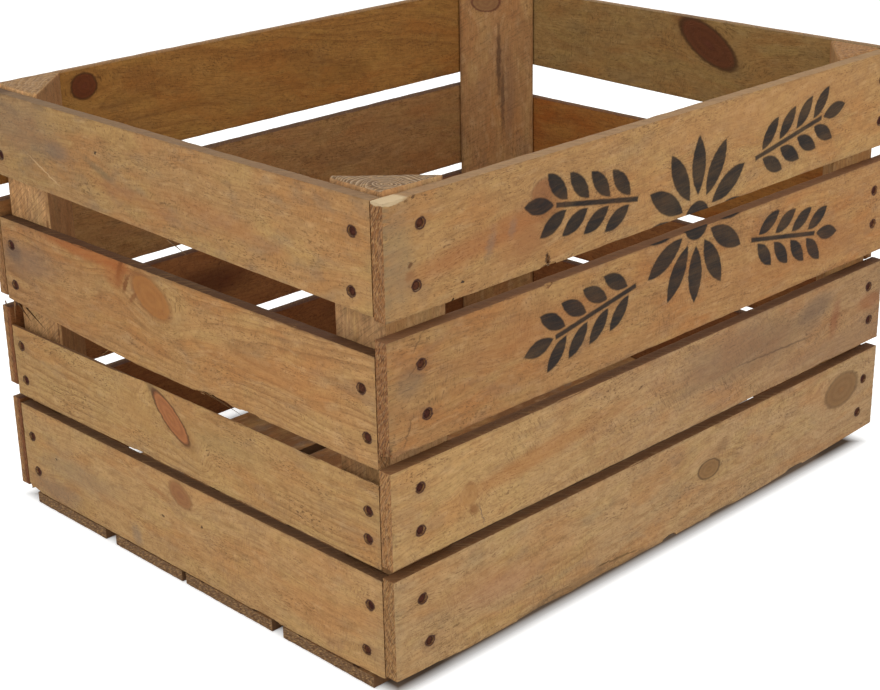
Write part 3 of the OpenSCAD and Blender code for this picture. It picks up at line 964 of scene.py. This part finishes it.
def rusty_steel(name):
    """Plain wire nails, hammered flush and long rusted: dark red-brown and rough, spotted."""
    material = bpy.data.materials.new(name)
    material.use_nodes = True
    tree = material.node_tree
    tree.nodes.clear()
    spot = lay(tree, "TexCoord").outputs["Object"]
    place = lay(tree, "VectorMath", (spot, (1000, 1000, 1000)), "MULTIPLY")
    flakes = clouds(tree, place, (0.9, 0.9, 0.9), 0.35, 0.7, 3.0)
    each = clouds(tree, place, (19, 19, 19), 0.35, 0.65)
    dark = clouds(tree, place, (1.8, 1.8, 1.8), 0.4, 0.62, 2.0)
    tint = linear("#3d1c16")
    for mask, colour in [(times(tree, each, 0.7), "#5b3620"), (times(tree, flakes, 0.4), "#4f271b"),
                         (times(tree, dark, 0.55), "#26110f")]:
        tint = lay(tree, "Mix", {0: mask, 6: tint, 7: linear(colour)}, data_type="RGBA")
    bump = lay(tree, "Bump", {"Height": flakes, "Strength": 0.8, "Distance": 0.15 * MM})
    shader = lay(tree, "BsdfPrincipled", {"Base Color": tint, "Roughness": 0.9, "IOR": 1.5,
                                          "Normal": bump, "Specular IOR Level": 0.12})
    lay(tree, "OutputMaterial", {"Surface": shader})
    return material


# How each board looks: tones as sRGB, rings and stains in mm on its outer face. The edge colour is
# dirt and painted shade on the top and bottom faces, shade is painted shade along the board, and
# inner is painted shade on the inner face. Tilts on the left side turn the other way to the eye,
# because y runs to the left there
board_looks = {
    "front_slat_1": {
        "tone": "#b08755", "pith": (26, -34), "drift": (0.012, 0.02), "ring": 4.6, "slope": -0.07,
        "edge": "#927555", "edge_dirt_and_shade_amount": 0.75, "fuzziness": 0.65, "end": "#8a5a30",
        "near_end": 0.6, "shade": [(-190, "#f5f4f5"), (-60, "#f8f6f8"), (60, "#ffffff")],
        "knots": [(-124.5, 283.3, 10, 8, 10, "soft")],
        "stains": [
            (-170, 266, 62, 7, 8, 0.6, "#9d5f33", 0.5),
            (-140, 262, 22, 15, 20, 0.6, "#9a6238", 0.4),
            (-134, 256, 12, 10, 0, 0.55, "#93633c", 0.45),
            (-238, 270, 9, 26, 0, 0.6, "#877659", 0.4),
            (-190.5, 246, 1.5, 1.0, 0, 0.3, "#2f211a", 0.9),
            (-119.8, 241, 1.6, 4.6, 8, 0.3, "#3a2419", 0.85),
            (-230.5, 266, 2.2, 1.6, 30, 0.4, "#5f3d22", 0.85),
            (-231, 260, 3.6, 2.6, 30, 0.5, "#8a5c36", 0.6),
            (-226.9, 304, 1.7, 1.2, 30, 0.3, "#5b3d24", 0.85),
            (-232.6, 302.6, 1.2, 0.7, 20, 0.3, "#6b4c2e", 0.7),
            (-168, 262, 3, 8, -20, 0.7, "#77695a", 0.4),
            (-150, 268, 3, 5, -20, 0.7, "#77695a", 0.4),
            (110, 290, 90, 14, 0, 0.6, "#a9784a", 0.35),
            (-118, 272, 8, 14, 10, 0.6, "#7d4f2c", 0.4),
        ],
        "fresh": [(-244, 304.8, 11.5, 2.3, -3, 0.2, "#c9b28c", 0.85)],
    },
    "front_slat_2": {
        "tone": "#ae8453", "pith": (-48, -30), "drift": (-0.008, 0.015), "ring": 4.0, "slope": 0.02,
        "edge": "#7d5638", "end": "#8a5a32", "blotch": 0.55, "hatch": 0.35, "hatch_tilt": 92,
        "shade": [(-190, "#efecec"), (-60, "#f4f0f0"), (190, "#fbf6f5")],
        "stains": [
            (-233, 198, 11, 8, 0, 0.55, "#77624e", 0.5),
            (-226, 220, 0.6, 7, -40, 0.4, "#5d412b", 0.5),
            (-229, 206, 0.5, 8, -50, 0.4, "#5d412b", 0.45),
            (-235, 169, 0.6, 10, -25, 0.4, "#553b28", 0.5),
            (150, 180, 70, 14, 0, 0.6, "#a06a3a", 0.4), (-130, 200, 60, 12, 0, 0.6, "#a56c3c", 0.4),
            (-252, 160, 4, 9, 20, 0.4, "#3b2519", 0.8),
        ],
    },
    "front_slat_3": {
        "tone": "#b8925f", "pith": (10, -46), "drift": (0.02, 0.01), "ring": 3.6, "slope": -0.06,
        "hatch": 0.4, "hatch_tilt": 60, "fuzziness": 0.65, "edge": "#6e482b", "end": "#94653a",
        "shade": [(-190, "#feffff"), (-60, "#f3f4ff"), (60, "#f0f0ff"), (190, "#e4e3f1")],
        "knots": [(-187.2, 112.6, 7, 8, 70, "pale")],
        "stains": [
            (235, 119, 16, 6, 0, 0.5, "#9a5a31", 0.5), (80, 124, 72, 18, 0, 0.5, "#7a5f45", 0.5),
            (-125, 118, 60, 6, 5, 0.6, "#a3632f", 0.4), (-184, 102, 3, 4, 40, 0.5, "#7a4c28", 0.65),
            (-187, 118, 4, 3, 0, 0.5, "#84532c", 0.5), (-177, 96, 0.6, 8, 20, 0.4, "#77604a", 0.7),
            (200, 95, 90, 9, 0, 0.6, "#9c7854", 0.4), (-30, 132, 2.2, 0.9, 20, 0.3, "#5a3c22", 0.8),
            (120, 113.6, 46, 0.7, -2, 0.5, "#5b4430", 0.6),
            (190, 118, 5, 13, -12, 0.6, "#8a4c2c", 0.5), (165, 132, 20, 9, 10, 0.5, "#6f5b48", 0.5),
        ],
    },
    "front_slat_4": {
        "tone": "#b58f63", "pith": (20, -30), "drift": (-0.015, 0.02), "ring": 4.4, "slope": -0.03,
        "greying": 0.35, "hatch": 0.3, "edge": "#6c4426", "end": "#8f6238",
        "shade": [(-190, "#faffff"), (190, "#f4f8ff")],
        "knots": [
            (45.7, 47.8, 12.5, 7.2, -5, "ringed"), (205.7, 56.7, 21.5, 13.2, 4, "brown"),
            (-168.6, 71, 1.6, 2.4, 0, "faint"),
        ],
        "stains": [
            (59, 60, 9, 4, 20, 0.6, "#7d5a3a", 0.5), (-100, 13, 46, 3.6, 3, 0.5, "#6d5238", 0.5),
            (-64, 18, 6, 0.7, 0, 0.4, "#54391f", 0.8),
            (-46, 16.4, 16, 0.7, -5, 0.4, "#5d4327", 0.7),
            (-40, 11, 26, 1.8, 0, 0.5, "#6d5238", 0.5), (-190, 52, 40, 9, 0, 0.6, "#a4693f", 0.3),
            (-160, 40, 30, 8, 0, 0.6, "#9f6a52", 0.3),
        ],
    },
    "left_slat_1": {
        "tone": "#b08758", "pith": (-60, -30), "drift": (0.01, 0.01), "ring": 3.2, "slope": 0.03,
        "edge": "#775e47", "edge_dirt_and_shade_amount": 0.8, "greying": 0.45, "sapwood": 0.5,
        "shade": [(-170, "#fafaf6"), (20, "#efefec"), (170, "#e7eaea")],
        "stains": [
            (126.5, 260.4, 19, 0.55, 23.5, 0.5, "#cfa97c", 0.75),
            (64.2, 283.7, 1.4, 0.9, 0, 0.3, "#2f231c", 0.85),
            (109, 276, 14, 6, 0, 0.6, "#6c625a", 0.45), (150, 285, 40, 18, 0, 0.6, "#7d6a59", 0.35),
            (60, 272, 20, 2.4, 20, 0.6, "#5f5a48", 0.4), (30, 262, 44, 5, 5, 0.6, "#a5693c", 0.4),
            (-60, 266, 50, 6, 6, 0.6, "#a5693c", 0.35),
        ],
        "fresh": [(184, 305, 16, 3, 0, 0.4, "#5a4230", 0.7)],
    },
    "left_slat_2": {
        "tone": "#b08655", "pith": (4, -26), "drift": (0.02, 0.045), "ring": 3.4, "contrast": 0.6,
        "slope": 0.05, "edge": "#3d220c", "blotch": 0.5,
        "shade": [(-150, "#ffffff"), (20, "#f9f8f3"), (150, "#ebe6e6")],
        "knots": [(17, 199, 22.5, 12.6, 22, "amber")],
        "stains": [
            (88, 213, 42, 5, 1, 0.5, "#a05a28", 0.7), (50, 212, 14, 4, 8, 0.5, "#9c5a2a", 0.5),
            (49, 211, 2.0, 7, 22, 0.4, "#74421c", 0.8),
            (43.6, 201.5, 1.8, 7, 28, 0.4, "#6e3f1c", 0.8),
            (36, 194.5, 1.6, 7, 50, 0.5, "#7a4a26", 0.7), (56, 204, 9, 8, 0, 0.6, "#9c5c2c", 0.5),
            (49, 206, 4.5, 9, 24, 0.5, "#874d22", 0.6), (176, 193, 9, 7, 0, 0.6, "#3f3530", 0.5),
            (160, 190, 30, 10, 0, 0.7, "#6f6258", 0.4), (-100, 180, 50, 6, 0, 0.6, "#a9713f", 0.35),
        ],
        "fresh": [(-120, 218, 70, 3, 0, 0.5, "#553520", 0.8)],
    },
    "left_slat_3": {
        "tone": "#b28a58", "pith": (20, -30), "drift": (0.01, 0.04), "ring": 3.0, "contrast": 0.58,
        "slope": 0.03, "edge": "#5f3d25", "blotting": 0.45, "fuzziness": 0.8,
        "shade": [(-150, "#fafbfa"), (150, "#fbffff")],
        "knots": [(5.9, 119.9, 23, 8.2, 38, "spike")],
        "stains": [
            (24, 134, 6, 3, 38, 0.6, "#6b5138", 0.7), (-14, 106, 8, 4, 38, 0.7, "#8f6a40", 0.5),
            (40, 112, 24, 8, 20, 0.6, "#a97c48", 0.4),
            (-75.7, 129.8, 1.3, 0.8, 0, 0.3, "#4a2d1c", 0.85),
            (-40, 118, 40, 8, 0, 0.6, "#9a7d50", 0.4),
        ],
    },
    "left_slat_4": {
        "tone": "#b48d5d", "pith": (-24, -32), "drift": (-0.01, 0.02), "ring": 3.3, "slope": 0.02,
        "edge": "#5b3c25", "shade": [(-150, "#ffffff"), (150, "#fcffff")],
        "knots": [(2.3, 66, 13, 8.2, 22, "soft")],
        "stains": [
            (3.3, 66, 9, 6, 22, 0.5, "#85543a", 0.5), (30, 61, 15, 1.8, 8, 0.6, "#94643c", 0.6),
            (120, 40, 40, 10, 0, 0.6, "#8a755c", 0.4), (56, 18, 5, 7, -20, 0.7, "#7b6a5c", 0.5),
            (150, 18, 26, 8, 0, 0.7, "#77685a", 0.45),
            (23.5, 43.6, 1.5, 1.0, 0, 0.3, "#4d3220", 0.85),
            (-18.1, 50.4, 1.4, 0.9, 0, 0.3, "#3d2418", 0.85),
            (150, 44, 1.2, 0.9, 0, 0.3, "#3d2c22", 0.8),
        ],
    },
    "back_slat_1": {
        "inner": "#dbc79a", "contrast": 0.45, "slope": 0.12, "edge_dirt_and_shade_amount": 0.6, "edge": "#8b7058",
        "knots": [(-171.8, 292.5, 11, 9.5, 0, "dark")],
    },
    "back_slat_2": {"inner": "#dbcfc3", "stains": [(-96, 200, 14, 9, 20, 0.6, "#5a3020", 0.6)]},
    "right_slat_1": {
        "inner": "#d8dac9", "edge": "#8b7058", "edge_dirt_and_shade_amount": 0.6, "hatch": 0.4,
        "knots": [(-39, 286.5, 31, 13, 28, "dark")],
        "stains": [
            (-22, 300, 26, 7, 24, 0.5, "#8d5a30", 0.6), (-64, 282, 7, 17, 20, 0.7, "#b08a5c", 0.4),
        ],
    },
    "right_slat_2": {"inner": "#dbbe8f", "blotch": 0.8},
    "back_slat_3": {
        "inner": "#c9aa97", "pith": (10, -30),
        "stains": [(-80, 120, 40, 12, 0, 0.6, "#4a2114", 0.6)],
    },
    "back_slat_4": {"inner": "#be9d8a", "pith": (20, -30)},
    "right_slat_3": {"inner": "#c9aa97", "pith": (-10, -30)},
    "right_slat_4": {"inner": "#be9d8a", "pith": (-20, -30)},
    "post_back_right": {
        "tone": "#a0754a", "contrast": 0.3, "knots": [(297, 213.8, 8.4, 7.8, 0, "loose")],
        "stains": [
            (246, 220.5, 30, 1.1, 0, 0.5, "#4a3020", 0.75),
            (215, 222.5, 26, 1.0, 0, 0.5, "#4f3524", 0.7),
            (215, 226, 30, 3, 0, 0.7, "#6f5340", 0.4),
        ],
    },
    "post_front_left": {
        "tone": "#b78c5e", "end_rings": 0.6, "end": "#604d39", "pith": (-12, 18), "ring": 2.2,
        "fresh": [(305, -249.6, 4.5, 2.2, 0, 0.3, "#9a6234", 0.7)],
    },
    # Its tone is lifted well above the wood's own as painted light against the shade deep in the
    # crate, and its inner colour is painted shade on its slanted inner face
    "post_back_left": {"tone": "#dba871", "end": "#876846", "end_rings": 0.3, "inner": "#bfb4ac"},
}


# ---- Building the crate ----

slats = [f"{side}_slat_{k}" for side in ("front", "right", "back", "left") for k in range(1, 5)]
boards = [f"bottom_board_{k}" for k in range(1, 5)]
posts = ["post_front_left", "post_front_right", "post_back_right", "post_back_left"]

for node in slats + boards:
    side = side_of(node)
    step = fine_step if side in ("front", "left") else coarse_step
    piece = saw_board(node, step, board_chips.get(node, ()))
    axes, face_at, inward = side_lie[side]
    heads = [(place[axes[ALONG]] / MM, place[axes[ACROSS]] / MM) for place in board_nails(node)]
    inked = node in ("front_slat_1", "front_slat_2")
    look = board_looks.get(node, {"pith": ((seed_of(node) % 90) - 45.0,
                                           -20.0 - seed_of(node) % 30)})
    if side == "bottom":
        look = {"tone": "#7f5634", "greying": 0.7, "end": "#654a30", "fuzziness": 0.8, **look}
    finish_in(piece, sawn_pine("sawn_pine_" + node, node, axes, face_at, inward, look, heads,
                               inked))
    stands_for = [node]
    if node == "front_slat_1":
        stands_for.append("stencil_upper")
    if node == "front_slat_2":
        stands_for.append("stencil_lower")
    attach(piece, "root")
    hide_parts(*stands_for)

for node in posts:
    piece = saw_post(node)
    low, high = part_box(node)
    look = {"tone": "#ab7d4c", "pith": (60.0, -50.0), "edge_dirt_and_shade_amount": 0.0, "slope": 0.01,
            "ring": 3.2, "hatch": 0.0, **board_looks.get(node, {})}
    finish_in(piece, sawn_pine("sawn_pine_" + node, node, (2, 0, 1), low.y / MM, 1, look))
    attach(piece, "root")
    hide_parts(node)

rust = rusty_steel("rusted_nail_steel")
for node in nail_sides:
    piece = drive_nails(node)
    finish_in(piece, rust)
    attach(piece, "root")
    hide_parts(node)

for tool in (splinter_gouge, nail_crater, wire_nail, splinter_sliver):
    remove(tool)


# ---- Floor, light and camera ----

def to_camera(tree):
    """1 for the rays that show the background: seen straight, in a reflection or through glass."""
    path = lay(tree, "LightPath")
    seen = lay(tree, "Math", (path.outputs["Is Camera Ray"], path.outputs["Is Glossy Ray"]),
               "MAXIMUM")
    return lay(tree, "Math", (seen, path.outputs["Is Transmission Ray"]), "MAXIMUM")


def lay_floor():
    deselect_all()
    bpy.ops.mesh.primitive_plane_add(size=floor_size * MM, location=(0, 0, -0.0002))
    floor = bpy.context.object
    floor.name = "studio_floor"
    paper = bpy.data.materials.new("white_studio_paper")
    paper.use_nodes = True
    tree = paper.node_tree
    tree.nodes.clear()
    # Under the crate the paper is painted a dark brown (#7a695a) as painted shade and gets no glow;
    # elsewhere it is lifted to white for the eye
    spot = lay(tree, "VectorMath", (lay(tree, "TexCoord").outputs["Object"],), "ABSOLUTE")
    spot = lay(tree, "SeparateXYZ", (spot,))
    clear = lay(tree, "Math", (lay(tree, "Math", (spot.outputs[0], -0.25), "ADD"),
                               lay(tree, "Math", (spot.outputs[1], -0.2), "ADD")), "MAXIMUM")
    clear = lay(tree, "MapRange", (clear, -0.012, 0.004, 0.0, 0.62))
    clear_of_painted_shade = lay(tree, "MapRange", (clear, 0.0, 0.3))
    plain = lay(tree, "BsdfDiffuse", {"Color": lay(tree, "Mix",
                                                   {0: clear_of_painted_shade, 6: linear("#7a695a"),
                                                    7: linear("#e6e6e4")}, data_type="RGBA")})
    lit = lay(tree, "Emission", {"Color": (1, 1, 1, 1), "Strength": times(tree, to_camera(tree),
                                                                          clear)})
    lay(tree, "OutputMaterial", {"Surface": lay(tree, "AddShader", (plain, lit))})
    floor.data.materials.append(paper)


def set_sky():
    world = bpy.data.worlds.new("studio_white")
    bpy.context.scene.world = world
    world.use_nodes = True
    tree = world.node_tree
    tree.nodes.clear()
    strength = lay(tree, "MapRange", (to_camera(tree), 0, 1, 0.50, 1.0))
    sky = lay(tree, "Background", {"Color": (1, 1, 1, 1), "Strength": strength})
    lay(tree, "OutputWorld", {"Surface": sky})


def hang_softbox(name, place, target, size, power):
    lamp = bpy.data.lights.new(name, "AREA")
    lamp.shape = "SQUARE"
    lamp.size = size
    lamp.energy = power
    box = bpy.data.objects.new(name, lamp)
    bpy.context.scene.collection.objects.link(box)
    box.location = place
    box.rotation_euler = (Vector(target) - Vector(place)).to_track_quat("-Z", "Y").to_euler()


def set_camera():
    """The camera found from the photograph: 1779 pixels of focal length, a degree of roll."""
    azimuth, elevation, roll = (math.radians(a) for a in (-44.32, 21.69, -1.11))
    back = Vector((math.sin(azimuth) * math.cos(elevation),
                   -math.cos(azimuth) * math.cos(elevation), math.sin(elevation)))
    level = Vector((math.cos(azimuth), math.sin(azimuth), 0))
    up = back.cross(level)
    right = level * math.cos(roll) + up * math.sin(roll)
    up = up * math.cos(roll) - level * math.sin(roll)
    lens = bpy.data.cameras.new("photo_camera")
    lens.sensor_width = 36
    lens.lens = 72.786
    camera = bpy.data.objects.new("photo_camera", lens)
    bpy.context.scene.collection.objects.link(camera)
    turn = Matrix((right, up, back)).transposed().to_4x4()
    camera.matrix_world = Matrix.Translation((-0.85254, -0.85857, 0.57984)) @ turn
    bpy.context.scene.camera = camera


lay_floor()
set_sky()
hang_softbox("softbox_left", (-1.7, -0.2, 1.1), (0, 0, 0.15), 1.2, 14)
hang_softbox("softbox_front", (0.2, -2.0, 1.2), (0, 0, 0.15), 1.4, 18)
hang_softbox("softbox_top", (-0.2, -0.2, 2.2), (0, 0, 0.1), 1.6, 16)
set_camera()
bpy.context.scene.view_settings.view_transform = "Standard"
